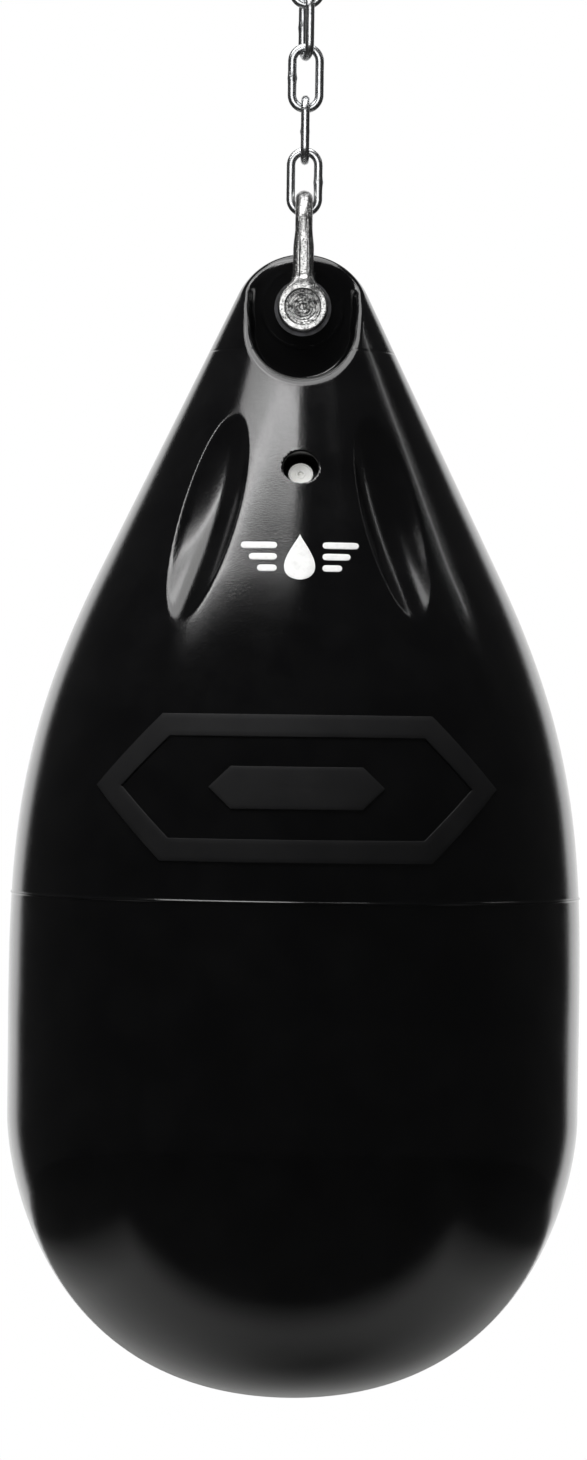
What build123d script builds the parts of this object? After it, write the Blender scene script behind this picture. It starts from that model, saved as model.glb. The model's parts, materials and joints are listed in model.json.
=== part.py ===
import os
from math import cos, radians, sin

from build123d import *

# Heavy punching bag: a moulded vinyl teardrop full of water, hung by a shackle, a chain and a swivel.
# Millimetres. +Z is up and the front faces -Y. The origin is the centre of the swivel eye's bore.

# ---------------------------------------------------------------- driving dimensions
# Swivel
EYE_BORE_RADIUS = 7.0
EYE_OUTER_RADIUS = 16.0
EYE_THICKNESS = 12.0
EYE_NECK = 4.0
EDGE_BREAK = 1.5
STEM_RADIUS = 5.0
STEM_SHOULDER_RADIUS = 8.0
STEM_SHOULDER_Z = -20.0
STEM_END_Z = -56.0
COLLAR_TOP_Z = -22.0
COLLAR_HEIGHT = 12.0
COLLAR_LENGTH = 44.0
COLLAR_WIDTH = 19.0
YOKE_BAR_RADIUS = 5.0
YOKE_HALF_SPAN = 17.0
YOKE_BAR_Z = -74.0
YOKE_CORNER_RADIUS = 12.0
SWIVEL_NUT_FLATS = 17.0
SWIVEL_NUT_HEIGHT = 8.0
SWIVEL_SLOT_DEPTH = 3.5
SWIVEL_SLOT_WIDTH = 2.6
SWIVEL_COTTER_RADIUS = 0.9
SWIVEL_COTTER_HOLE = 1.0
SWIVEL_COTTER_LENGTH = 14.6
RUNNING_FIT = 0.06
THREAD_FIT = 0.02

# Thrust bearing of the swivel
RACE_OUTER_RADIUS = 10.5
RACE_THICKNESS = 3.0
RACE_CLEARANCE = 0.6
BALL_RADIUS = 1.5
BALL_COUNT = 10
BALL_PITCH_RADIUS = 7.6
GROOVE_RADIUS = 1.56
GROOVE_DEPTH = 0.55
BALL_GAP = 0.03
CAGE_THICKNESS = 1.0
CAGE_INNER_RADIUS = 5.6
CAGE_OUTER_RADIUS = 9.6

# Chain
WIRE_RADIUS = 3.15
LINK_INNER_LENGTH = 38.0
LINK_INNER_WIDTH = 13.5
LINK_COUNT = 5
CONTACT_GAP = 0.3
WELD_RADIUS = 3.75
WELD_LENGTH = 6.0
WELD_BEVEL = 0.5
ACROSS = 0.0
EDGE_ON = 90.0
LINK_TURNS = (ACROSS, EDGE_ON, ACROSS + 180.0, EDGE_ON + 15.0, ACROSS)

# Shackle
BOW_BAR_RADIUS = 6.3
BOW_HALF_GAP = 16.0
BOW_INNER_LENGTH = 73.5
LEG_WIDTH = 15.0
LEG_TAPER = 12.0
EAR_RADIUS = 18.1
EAR_EDGE = 1.2
NECK_HALF_WIDTH = 16.29
NECK_HEIGHT = 30.0
PIN_RADIUS = 7.0
PIN_HEAD_RADIUS = 12.85
PIN_HEAD_THICKNESS = 5.5
PIN_HEAD_RECESS = 6.0
PIN_HEAD_FIT = 0.15
PIN_FACE_RING = 7.8
PIN_FACE_RING_INSIDE = 7.0
PIN_FACE_RING_CUT = 0.6
PIN_DIMPLE_RADIUS = 3.0
PIN_DIMPLE_CUT = 1.5
PIN_TIP = 2.0
PIN_FIT = 0.075
PIN_THREAD_RADIUS = 6.0
SHACKLE_NUT_FLATS = 19.0
SHACKLE_NUT_HEIGHT = 9.0
SHACKLE_SLOT_DEPTH = 4.0
SHACKLE_SLOT_WIDTH = 3.6
SHACKLE_COTTER_RADIUS = 1.5
SHACKLE_COTTER_HOLE = 1.6
SHACKLE_COTTER_LENGTH = 19.6
WASHER_RADIUS = 20.5
WASHER_HOLE = 7.3
WASHER_THICKNESS = 2.5
SEAT_GAP = 0.2

# Bag outline, measured down from the top of the nose
NOSE_RADIUS = 52.0
FLANK_ANGLE = 25.84
FLANK_LENGTH = 225.0
SHOULDER_PULL = 160.0
BELLY_PULL = 166.0
BELLY_RADIUS = 206.5
BELLY_DEPTH = 624.0
BELLY_DROP = 43.0
BOTTOM_PULL = 177.0
BAG_HEIGHT = 827.0
PIN_DEPTH = 39.8
NOSE_JOINT_DEPTH = 72.0
SEAM_DEPTH = 464.0
SEAM_BEAD_RADIUS = 1.2
SEAM_INSET = 1.6

# Bag inside
SHOULDER_WALL = 21.0
BELLY_WALL = 6.0
SHOULDER_PULL_INSIDE = 230.0
BELLY_PULL_INSIDE = 215.8
CAVITY_DEPTH = 132.0
FILL_DEPTH = 200.0
FILL_GAP = 0.3

# Pockets beside the web
WEB_HALF_THICKNESS = 13.0
POCKET_UPPER_RADIUS = 42.0
POCKET_UPPER_DROP = 4.8
POCKET_LOWER_RADIUS = 40.0
POCKET_LOWER_DROP = 14.1
POCKET_REACH = 90.0
SWING_ROOM_RADIUS = 45.5
SWING_ROOM_DEPTH = 18.5
SLEEVE_RADIUS = 11.0
SLEEVE_FIT = 0.05

# Flutes
FLUTE_AZIMUTHS = (-31.2, 31.2, 148.8, 211.2)
FLUTE_CUTTER_RADIUS = 30.0
FLUTE_CUT_DEPTH = 12.0
FLUTE_TOP_DEPTH = 145.0
FLUTE_BOTTOM_DEPTH = 244.0

# Fill valve
VALVE_DEPTH = 159.0
VALVE_RECESS_RADIUS = 12.6
VALVE_RECESS_DEPTH = 17.0
VALVE_FLANGE_RADIUS = 12.1
VALVE_FLANGE_THICKNESS = 2.0
VALVE_SHANK_RADIUS = 10.0
VALVE_LENGTH = 38.0
VALVE_BORE_RADIUS = 6.0
VALVE_FIT = 0.05
PLUG_HEAD_GAP = 1.2
PLUG_HEAD_RADIUS = 9.0
PLUG_HEAD_THICKNESS = 3.0
PLUG_SOCKET_RADIUS = 2.2
PLUG_SOCKET_FLOOR = 1.0
PLUG_STEM_LENGTH = 18.0
ORING_SECTION = 1.1
ORING_STRETCH = 0.4
GASKET_TOP = -20.5
GASKET_EDGE = 1.0
GASKET_THICKNESS = 2.0
LOCKNUT_RADIUS = 17.0
LOCKNUT_THICKNESS = 6.0
LOCKNUT_NOTCHES = 12
LOCKNUT_NOTCH_RADIUS = 1.5

# Longer than anything in the part, for cutting tools that must reach right through
FAR = 1000.0

# ---------------------------------------------------------------- places worked out from them
COLLAR_BOTTOM_Z = COLLAR_TOP_Z - COLLAR_HEIGHT
RACE_SPACING = 2 * (BALL_RADIUS - GROOVE_DEPTH + BALL_GAP)
UPPER_RACE_Z = COLLAR_BOTTOM_Z - RACE_THICKNESS
BALL_Z = UPPER_RACE_Z - RACE_SPACING / 2
LOWER_RACE_Z = UPPER_RACE_Z - RACE_SPACING
SWIVEL_NUT_Z = LOWER_RACE_Z - RACE_THICKNESS
SWIVEL_COTTER_Z = SWIVEL_NUT_Z - SWIVEL_NUT_HEIGHT - SWIVEL_SLOT_DEPTH / 2

LINK_ARC_RADIUS = LINK_INNER_WIDTH / 2 + WIRE_RADIUS
LINK_WIRE_LENGTH = LINK_INNER_LENGTH + 2 * WIRE_RADIUS
LINK_PITCH = LINK_INNER_LENGTH - CONTACT_GAP
TOP_LINK_Z = YOKE_BAR_Z + YOKE_BAR_RADIUS + WIRE_RADIUS + CONTACT_GAP

CHAIN_END_Z = TOP_LINK_Z - LINK_WIRE_LENGTH - (LINK_COUNT - 1) * LINK_PITCH
CROWN_Z = CHAIN_END_Z + WIRE_RADIUS + BOW_BAR_RADIUS + CONTACT_GAP
PIN_Z = CROWN_Z - BOW_BAR_RADIUS - BOW_INNER_LENGTH
EAR_THICKNESS = 2 * BOW_BAR_RADIUS
BOW_LEG_Y = BOW_HALF_GAP + BOW_BAR_RADIUS
EAR_OUTER_Y = BOW_HALF_GAP + EAR_THICKNESS
SHACKLE_NUT_Y = EAR_OUTER_Y + SEAT_GAP
SHACKLE_COTTER_Y = SHACKLE_NUT_Y + SHACKLE_NUT_HEIGHT + SHACKLE_SLOT_DEPTH / 2
PIN_END_Y = SHACKLE_NUT_Y + SHACKLE_NUT_HEIGHT + SHACKLE_SLOT_DEPTH + PIN_TIP

NOSE_TOP_Z = PIN_Z + PIN_DEPTH
FLANGE_BOTTOM = -VALVE_RECESS_DEPTH
FLANGE_TOP = FLANGE_BOTTOM + VALVE_FLANGE_THICKNESS
PLUG_HEAD_BOTTOM = FLANGE_TOP + PLUG_HEAD_GAP


# ---------------------------------------------------------------- small helpers
def disc(radius, height, y, hole=0.0):
    """A disc whose axis is along Y, centred at the given Y."""
    ring = Circle(radius)
    if hole:
        ring -= Circle(hole)
    return Pos(0, y, 0) * Rot(90, 0, 0) * extrude(ring, height / 2, both=True)


def washer(outer, inner, low_z, high_z):
    """A flat ring about the Z axis."""
    return Pos(0, 0, low_z) * extrude(Circle(outer) - Circle(inner), high_z - low_z)


def castle_nut(across_flats, bore, height, slot_depth, slot_width):
    """A slotted hex nut, standing on the XY plane, with a narrower slotted crown at the top."""
    nut = extrude(RegularPolygon(across_flats / 2, 6, major_radius=False) - Circle(bore), height)
    crown = extrude(Circle(0.77 * across_flats / 2) - Circle(bore), slot_depth)
    nut += Pos(0, 0, height) * crown
    slot = Box(across_flats * 2, slot_width, slot_depth, align=(Align.CENTER, Align.CENTER, Align.MIN))
    for turn in (0, 60, 120):
        nut -= Pos(0, 0, height) * Rot(0, 0, turn) * slot
    return nut


def cotter_pin(radius, length):
    """A split pin along X: a straight shank, a round eye at one end and two spread tails at the other."""
    shank = Rot(0, 90, 0) * Cylinder(radius, length)
    eye = Pos(-length / 2 - 1.6 * radius, 0, 0) * Torus(2.2 * radius, radius * 0.8)
    pin = shank + eye
    for side in (-1, 1):
        tail = Rot(0, 0, side * 35) * Rot(0, 90, 0) * Cylinder(radius * 0.6, 5 * radius)
        pin += Pos(length / 2 + 1.6 * radius, side * 1.5 * radius, 0) * tail
    return pin


def tube_along(path, radius):
    """A round bar whose centre line is the path."""
    section = Plane(path @ 0, z_dir=path % 0) * Circle(radius)
    return sweep(section, path=path)


# ---------------------------------------------------------------- swivel
def swivel_eye_stem():
    eye = disc(EYE_OUTER_RADIUS, EYE_THICKNESS, 0)
    eye = chamfer(eye.edges().filter_by(GeomType.CIRCLE), EDGE_BREAK)
    neck_z = -EYE_BORE_RADIUS - EYE_NECK
    shoulder = Pos(0, 0, STEM_SHOULDER_Z) * extrude(Circle(STEM_SHOULDER_RADIUS), neck_z - STEM_SHOULDER_Z)
    stem = Pos(0, 0, STEM_END_Z) * extrude(Circle(STEM_RADIUS), neck_z - STEM_END_Z)
    bore = disc(EYE_BORE_RADIUS, 2 * EYE_THICKNESS, 0)
    cotter_hole = Pos(0, 0, SWIVEL_COTTER_Z) * Rot(0, 90, 0) * Cylinder(SWIVEL_COTTER_HOLE, FAR)
    return eye + shoulder + stem - bore - cotter_hole


def swivel_nut():
    bore = STEM_RADIUS + THREAD_FIT
    nut = castle_nut(SWIVEL_NUT_FLATS, bore, SWIVEL_NUT_HEIGHT, SWIVEL_SLOT_DEPTH, SWIVEL_SLOT_WIDTH)
    return Pos(0, 0, SWIVEL_NUT_Z) * Rot(180, 0, 0) * nut


def swivel_cotter():
    return Pos(0, 0, SWIVEL_COTTER_Z) * cotter_pin(SWIVEL_COTTER_RADIUS, SWIVEL_COTTER_LENGTH)


def ball_groove(side):
    """The ring that the balls run in, cut into a race on its given side (+1 above the balls)."""
    return Pos(0, 0, BALL_Z + side * BALL_GAP) * Torus(BALL_PITCH_RADIUS, GROOVE_RADIUS)


def bearing_race_upper():
    bore = STEM_RADIUS + RACE_CLEARANCE
    return washer(RACE_OUTER_RADIUS, bore, UPPER_RACE_Z, COLLAR_BOTTOM_Z) - ball_groove(1)


def bearing_race_lower():
    bore = STEM_RADIUS + THREAD_FIT
    return washer(RACE_OUTER_RADIUS, bore, SWIVEL_NUT_Z, LOWER_RACE_Z) - ball_groove(-1)


def ball_places():
    """One place for each ball, spaced evenly round the stem."""
    return [Rot(0, 0, 360 * i / BALL_COUNT) * Pos(BALL_PITCH_RADIUS, 0, BALL_Z) for i in range(BALL_COUNT)]


def bearing_balls():
    return Compound(children=[place * Sphere(BALL_RADIUS) for place in ball_places()])


def bearing_cage():
    half = CAGE_THICKNESS / 2
    cage = washer(CAGE_OUTER_RADIUS, CAGE_INNER_RADIUS, BALL_Z - half, BALL_Z + half)
    for place in ball_places():
        cage -= place * Cylinder(BALL_RADIUS + RUNNING_FIT, 3 * CAGE_THICKNESS)
    return cage


def swivel_yoke():
    top_z = COLLAR_TOP_Z - COLLAR_HEIGHT / 2
    corners = [
        (0, -YOKE_HALF_SPAN, top_z),
        (0, -YOKE_HALF_SPAN, YOKE_BAR_Z),
        (0, YOKE_HALF_SPAN, YOKE_BAR_Z),
        (0, YOKE_HALF_SPAN, top_z),
    ]
    loop = tube_along(FilletPolyline(*corners, radius=YOKE_CORNER_RADIUS), YOKE_BAR_RADIUS)
    collar = extrude(SlotOverall(COLLAR_LENGTH, COLLAR_WIDTH, rotation=90), COLLAR_HEIGHT)
    collar = Pos(0, 0, COLLAR_BOTTOM_Z) * chamfer(collar.edges(), EDGE_BREAK)
    bore = Pos(0, 0, COLLAR_BOTTOM_Z) * Cylinder(STEM_RADIUS + RUNNING_FIT, 3 * COLLAR_HEIGHT)
    return collar + loop - bore


# ---------------------------------------------------------------- chain
def chain_link(number):
    """One welded link. Link 1 is the lowest, and each is turned about the chain by its own angle."""
    top_z = TOP_LINK_Z - (LINK_COUNT - number) * LINK_PITCH
    half_straight = LINK_WIRE_LENGTH / 2 - LINK_ARC_RADIUS
    side = LINK_ARC_RADIUS
    end = half_straight + side
    right = Line((side, 0, -half_straight), (side, 0, half_straight))
    over = ThreePointArc((side, 0, half_straight), (0, 0, end), (-side, 0, half_straight))
    left = Line((-side, 0, half_straight), (-side, 0, -half_straight))
    under = ThreePointArc((-side, 0, -half_straight), (0, 0, -end), (side, 0, -half_straight))
    link = tube_along(Wire([right, over, left, under]), WIRE_RADIUS)
    bead = chamfer(Cylinder(WELD_RADIUS, WELD_LENGTH).edges(), WELD_BEVEL)
    link += Pos(side, 0, 0) * bead
    return Pos(0, 0, top_z - LINK_WIRE_LENGTH / 2) * Rot(0, 0, LINK_TURNS[number - 1]) * link


# ---------------------------------------------------------------- shackle
def shackle_leg(side):
    """One leg's flat lower part and its ear, on the given side (-1 is the front)."""
    top_z = BOW_INNER_LENGTH + BOW_BAR_RADIUS - BOW_LEG_Y
    right = [
        (BOW_BAR_RADIUS, top_z),
        (LEG_WIDTH / 2, top_z - LEG_TAPER),
        (LEG_WIDTH / 2, NECK_HEIGHT),
        (NECK_HALF_WIDTH, 0),
    ]
    left = [(-x, z) for x, z in reversed(right)]
    shape = make_face(Polyline(*left, *right, close=True))
    leg = Rot(90, 0, 0) * extrude(shape, EAR_THICKNESS / 2, both=True)
    ear = disc(EAR_RADIUS, EAR_THICKNESS, 0)
    ear = chamfer(ear.edges().filter_by(GeomType.CIRCLE), EAR_EDGE)
    return Pos(0, side * BOW_LEG_Y, PIN_Z) * (leg + ear)


def shackle_bow():
    top_z = CROWN_Z - BOW_LEG_Y
    crown = ThreePointArc((0, -BOW_LEG_Y, top_z), (0, 0, CROWN_Z), (0, BOW_LEG_Y, top_z))
    bow = tube_along(Wire([crown]), BOW_BAR_RADIUS)
    for side in (-1, 1):
        bow += shackle_leg(side)
    bow -= Pos(0, 0, PIN_Z) * disc(PIN_RADIUS + PIN_FIT, FAR, 0)
    recess_y = -EAR_OUTER_Y + PIN_HEAD_RECESS / 2
    return bow - Pos(0, 0, PIN_Z) * disc(PIN_HEAD_RADIUS + PIN_HEAD_FIT, PIN_HEAD_RECESS, recess_y)


def shackle_pin():
    head_y = -EAR_OUTER_Y + PIN_HEAD_RECESS - PIN_HEAD_THICKNESS / 2
    face_y = head_y - PIN_HEAD_THICKNESS / 2
    head = disc(PIN_HEAD_RADIUS, PIN_HEAD_THICKNESS, head_y)
    ring = disc(PIN_FACE_RING, 2 * PIN_FACE_RING_CUT, face_y, hole=PIN_FACE_RING_INSIDE)
    dimple = disc(PIN_DIMPLE_RADIUS, 2 * PIN_DIMPLE_CUT, face_y)
    shank = disc(PIN_RADIUS, EAR_OUTER_Y - head_y, (EAR_OUTER_Y + head_y) / 2)
    thread = disc(PIN_THREAD_RADIUS, PIN_END_Y - EAR_OUTER_Y, (PIN_END_Y + EAR_OUTER_Y) / 2)
    pin = head + shank + thread - ring - dimple
    pin -= Pos(0, SHACKLE_COTTER_Y, 0) * Rot(0, 90, 0) * Cylinder(SHACKLE_COTTER_HOLE, FAR)
    return Pos(0, 0, PIN_Z) * pin


def shackle_nut():
    bore = PIN_THREAD_RADIUS + THREAD_FIT
    nut = castle_nut(SHACKLE_NUT_FLATS, bore, SHACKLE_NUT_HEIGHT, SHACKLE_SLOT_DEPTH, SHACKLE_SLOT_WIDTH)
    return Pos(0, SHACKLE_NUT_Y, PIN_Z) * Rot(-90, 0, 0) * nut


def shackle_cotter():
    cotter = cotter_pin(SHACKLE_COTTER_RADIUS, SHACKLE_COTTER_LENGTH)
    return Pos(0, SHACKLE_COTTER_Y, PIN_Z) * Rot(90, 0, 0) * cotter


def spacer_washers():
    y = BOW_HALF_GAP - SEAT_GAP - WASHER_THICKNESS / 2
    rings = [disc(WASHER_RADIUS, WASHER_THICKNESS, side * y, hole=WASHER_HOLE) for side in (-1, 1)]
    return Pos(0, 0, PIN_Z) * Compound(children=rings)


# ---------------------------------------------------------------- bag
def at_depth(radius, depth):
    """A point of the bag's half outline, at a radius and a distance below the top of the nose."""
    return (radius, 0, NOSE_TOP_Z - depth)


def bag_outline(inset):
    """The closed half outline of the bag, inset all round: round nose, straight flank, full belly."""
    lean = radians(FLANK_ANGLE)
    nose = NOSE_RADIUS - inset
    halfway = radians(90 + FLANK_ANGLE) / 2
    top = at_depth(0, inset)
    nose_mid = at_depth(nose * cos(halfway), NOSE_RADIUS - nose * sin(halfway))
    tangent = (nose * cos(lean), NOSE_RADIUS - nose * sin(lean))
    flank_end = (tangent[0] + FLANK_LENGTH * sin(lean), tangent[1] + FLANK_LENGTH * cos(lean))
    pull = (flank_end[0] + SHOULDER_PULL * sin(lean), flank_end[1] + SHOULDER_PULL * cos(lean))
    belly = BELLY_RADIUS - inset
    bottom = BAG_HEIGHT - inset
    edges = [
        ThreePointArc(top, nose_mid, at_depth(*tangent)),
        Line(at_depth(*tangent), at_depth(*flank_end)),
        Bezier(at_depth(*flank_end), at_depth(*pull), at_depth(belly, BELLY_DEPTH - BELLY_PULL),
               at_depth(belly, BELLY_DEPTH)),
        Bezier(at_depth(belly, BELLY_DEPTH), at_depth(belly, BELLY_DEPTH + BELLY_DROP),
               at_depth(BOTTOM_PULL, bottom), at_depth(0, bottom)),
        Line(at_depth(0, bottom), top),
    ]
    return make_face(edges)


def flank_radius(depth):
    """The outer radius on the straight flank."""
    lean = radians(FLANK_ANGLE)
    return (NOSE_RADIUS + (depth - NOSE_RADIUS) * sin(lean)) / cos(lean)


def cavity_outline(gap):
    """The hollow under the solid nose: thick at the shoulder, behind the flutes, and thinner at the belly."""
    lean = radians(FLANK_ANGLE)
    top = CAVITY_DEPTH + gap
    shoulder = flank_radius(CAVITY_DEPTH) - SHOULDER_WALL - gap
    belly = BELLY_RADIUS - BELLY_WALL - gap
    bottom = BAG_HEIGHT - BELLY_WALL - gap
    pull = (shoulder + SHOULDER_PULL_INSIDE * sin(lean), top + SHOULDER_PULL_INSIDE * cos(lean))
    edges = [
        Line(at_depth(0, top), at_depth(shoulder, top)),
        Bezier(at_depth(shoulder, top), at_depth(*pull), at_depth(belly, BELLY_DEPTH - BELLY_PULL_INSIDE),
               at_depth(belly, BELLY_DEPTH)),
        Bezier(at_depth(belly, BELLY_DEPTH), at_depth(belly, BELLY_DEPTH + BELLY_DROP),
               at_depth(BOTTOM_PULL, bottom), at_depth(0, bottom)),
        Line(at_depth(0, bottom), at_depth(0, top)),
    ]
    return make_face(edges)


def pocket_cutter(side):
    """A deep round-cornered recess beside the web, with room at its top for the shackle to swing."""
    upper = Pos(0, -POCKET_UPPER_DROP) * Circle(POCKET_UPPER_RADIUS)
    lower = Pos(0, -POCKET_LOWER_DROP) * Circle(POCKET_LOWER_RADIUS)
    outline = make_hull(upper.edges() + lower.edges())
    pocket = extrude(outline, POCKET_REACH)
    swing_room = extrude(Circle(SWING_ROOM_RADIUS), SWING_ROOM_DEPTH)
    swing_room &= Box(FAR, FAR, FAR, align=(Align.CENTER, Align.MIN, Align.CENTER))
    cutter = pocket + Pos(0, -POCKET_UPPER_DROP, 0) * swing_room
    cutter = Pos(0, -WEB_HALF_THICKNESS, PIN_Z) * Rot(90, 0, 0) * cutter
    return cutter if side < 0 else Rot(0, 0, 180) * cutter


def flute_cutter(azimuth):
    """A long round-ended scoop that follows the flank's slope, turned to its azimuth from the front."""
    lean = radians(FLANK_ANGLE)
    lift = FLUTE_CUTTER_RADIUS - FLUTE_CUT_DEPTH
    ends = []
    for depth in (FLUTE_TOP_DEPTH, FLUTE_BOTTOM_DEPTH):
        radius = flank_radius(depth) + lift * cos(lean)
        ends.append(Vector(0, -radius, NOSE_TOP_Z - depth + lift * sin(lean)))
    scoop = tube_along(Wire([Line(ends[0], ends[1])]), FLUTE_CUTTER_RADIUS)
    for end in ends:
        scoop += Pos(*end) * Sphere(FLUTE_CUTTER_RADIUS)
    return Rot(0, 0, azimuth) * scoop


def valve_place():
    """The frame of the fill valve: its origin on the flank, its +Z straight out of the surface."""
    lean = radians(FLANK_ANGLE)
    origin = (0, -flank_radius(VALVE_DEPTH), NOSE_TOP_Z - VALVE_DEPTH)
    return Plane(origin=origin, x_dir=(1, 0, 0), z_dir=(0, -cos(lean), sin(lean))).location


def below_nose_joint():
    """Everything below the plane where the nose block is bonded to the skin."""
    align = (Align.CENTER, Align.CENTER, Align.MAX)
    return Pos(0, 0, NOSE_TOP_Z - NOSE_JOINT_DEPTH) * Box(FAR, FAR, FAR, align=align)


def pocketed_outer():
    """The bag's outer form with both pockets cut, before it is parted into nose and skin."""
    outer = revolve(bag_outline(0), axis=Axis.Z)
    for side in (-1, 1):
        outer -= pocket_cutter(side)
    return outer


def nose_block():
    """The solid head: a web between two pockets, bored for the hanger sleeve."""
    nose = pocketed_outer() - below_nose_joint()
    return nose - Pos(0, 0, PIN_Z) * disc(SLEEVE_RADIUS + SLEEVE_FIT, FAR, 0)


def bag_skin():
    """The hollow shell below the nose block, with its flutes, seam bead and valve recess."""
    skin = pocketed_outer() & below_nose_joint()
    skin += Pos(0, 0, NOSE_TOP_Z - SEAM_DEPTH) * Torus(BELLY_RADIUS - SEAM_INSET, SEAM_BEAD_RADIUS)
    for azimuth in FLUTE_AZIMUTHS:
        skin -= flute_cutter(azimuth)
    skin -= revolve(cavity_outline(0), axis=Axis.Z)
    recess = Pos(0, 0, FLANGE_BOTTOM) * extrude(Circle(VALVE_RECESS_RADIUS), 2 * VALVE_RECESS_DEPTH)
    shank_hole = Cylinder(VALVE_SHANK_RADIUS + VALVE_FIT, 3 * VALVE_LENGTH)
    return skin - valve_place() * recess - valve_place() * shank_hole


def water_fill():
    """The water, which fills the hollow up to its level surface just under the valve."""
    air = Box(FAR, FAR, FAR, align=(Align.CENTER, Align.CENTER, Align.MIN))
    return revolve(cavity_outline(FILL_GAP), axis=Axis.Z) - Pos(0, 0, NOSE_TOP_Z - FILL_DEPTH) * air


def hanger_sleeve():
    sleeve = disc(SLEEVE_RADIUS, 2 * WEB_HALF_THICKNESS, 0, hole=PIN_RADIUS + PIN_FIT)
    return Pos(0, 0, PIN_Z) * sleeve


# ---------------------------------------------------------------- fill valve
def valve_body():
    flange = washer(VALVE_FLANGE_RADIUS, VALVE_BORE_RADIUS, FLANGE_BOTTOM, FLANGE_TOP)
    shank = washer(VALVE_SHANK_RADIUS, VALVE_BORE_RADIUS, -VALVE_LENGTH, FLANGE_BOTTOM)
    return valve_place() * (flange + shank)


def valve_gasket():
    outer = LOCKNUT_RADIUS - GASKET_EDGE
    bore = VALVE_SHANK_RADIUS + VALVE_FIT
    return valve_place() * washer(outer, bore, GASKET_TOP - GASKET_THICKNESS, GASKET_TOP)


def valve_locknut():
    top = GASKET_TOP - GASKET_THICKNESS
    ring = washer(LOCKNUT_RADIUS, VALVE_SHANK_RADIUS + VALVE_FIT, top - LOCKNUT_THICKNESS, top)
    notch = Pos(LOCKNUT_RADIUS, 0, top) * Cylinder(LOCKNUT_NOTCH_RADIUS, 3 * LOCKNUT_THICKNESS)
    for i in range(LOCKNUT_NOTCHES):
        ring -= Rot(0, 0, 360 * i / LOCKNUT_NOTCHES) * notch
    return valve_place() * ring


def valve_plug():
    head_top = PLUG_HEAD_BOTTOM + PLUG_HEAD_THICKNESS
    socket_floor = PLUG_HEAD_BOTTOM + PLUG_SOCKET_FLOOR
    head = washer(PLUG_HEAD_RADIUS, PLUG_SOCKET_RADIUS, PLUG_HEAD_BOTTOM, head_top)
    stem = extrude(Circle(VALVE_BORE_RADIUS - RUNNING_FIT), PLUG_STEM_LENGTH)
    return valve_place() * (head + Pos(0, 0, socket_floor - PLUG_STEM_LENGTH) * stem)


def plug_oring():
    mid = (FLANGE_TOP + PLUG_HEAD_BOTTOM) / 2
    ring = Torus(VALVE_BORE_RADIUS + ORING_STRETCH + ORING_SECTION / 2, ORING_SECTION / 2)
    return valve_place() * Pos(0, 0, mid) * ring


# ---------------------------------------------------------------- export
NODES = {
    "swivel_eye_stem": swivel_eye_stem,
    "swivel_nut": swivel_nut,
    "swivel_cotter": swivel_cotter,
    "bearing_race_upper": bearing_race_upper,
    "bearing_race_lower": bearing_race_lower,
    "bearing_balls": bearing_balls,
    "bearing_cage": bearing_cage,
    "swivel_yoke": swivel_yoke,
    "shackle_bow": shackle_bow,
    "shackle_pin": shackle_pin,
    "shackle_nut": shackle_nut,
    "shackle_cotter": shackle_cotter,
    "spacer_washers": spacer_washers,
    "nose_block": nose_block,
    "bag_skin": bag_skin,
    "water_fill": water_fill,
    "hanger_sleeve": hanger_sleeve,
    "valve_body": valve_body,
    "valve_gasket": valve_gasket,
    "valve_locknut": valve_locknut,
    "valve_plug": valve_plug,
    "plug_oring": plug_oring,
}

os.makedirs("parts", exist_ok=True)
for name, make in NODES.items():
    export_step(make(), f"parts/{name}.step")
for number in range(1, LINK_COUNT + 1):
    export_step(chain_link(number), f"parts/chain_link_{number}.step")
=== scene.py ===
import json
from math import cos, pi, radians, sin

import bmesh
import bpy
import numpy as np
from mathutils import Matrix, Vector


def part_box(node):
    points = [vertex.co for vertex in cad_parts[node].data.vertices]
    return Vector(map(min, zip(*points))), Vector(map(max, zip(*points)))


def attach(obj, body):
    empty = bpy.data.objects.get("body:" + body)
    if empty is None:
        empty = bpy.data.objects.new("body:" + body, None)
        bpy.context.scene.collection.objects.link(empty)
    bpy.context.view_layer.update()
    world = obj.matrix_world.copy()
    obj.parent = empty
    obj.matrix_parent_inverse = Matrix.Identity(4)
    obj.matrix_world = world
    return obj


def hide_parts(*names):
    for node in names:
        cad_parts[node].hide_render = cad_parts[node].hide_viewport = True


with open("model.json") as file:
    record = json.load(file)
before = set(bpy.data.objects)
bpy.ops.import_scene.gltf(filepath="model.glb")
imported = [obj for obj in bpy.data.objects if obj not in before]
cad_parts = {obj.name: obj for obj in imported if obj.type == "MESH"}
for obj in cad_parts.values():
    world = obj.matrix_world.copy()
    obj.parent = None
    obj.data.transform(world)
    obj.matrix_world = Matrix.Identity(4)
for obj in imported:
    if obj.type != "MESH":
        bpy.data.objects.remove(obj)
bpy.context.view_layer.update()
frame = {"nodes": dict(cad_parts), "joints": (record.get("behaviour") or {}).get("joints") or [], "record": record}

import openvdb
from mathutils import Quaternion, Vector

MM = 0.001

# ---------------------------------------------------------------- places read from the frame
hinges = [joint for joint in frame["joints"] if joint["type"] == "hinge"]
joint_place = {joint["name"]: Vector(joint["pos_m"]) / MM for joint in hinges}
joint_axis = {joint["name"]: Vector(joint["axis"]) for joint in hinges}


def low(node):
    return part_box(node)[0] / MM


def high(node):
    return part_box(node)[1] / MM


NOSE_TOP = high("nose_block").z
NOSE_JOINT = low("nose_block").z
BAG_BOTTOM = low("bag_skin").z
BAG_HEIGHT = NOSE_TOP - BAG_BOTTOM
PIN_Z = joint_place["bag_swing"].z
VALVE = np.array(joint_place["plug_turn"])
VALVE_AXIS = np.array(joint_axis["plug_turn"])

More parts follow.
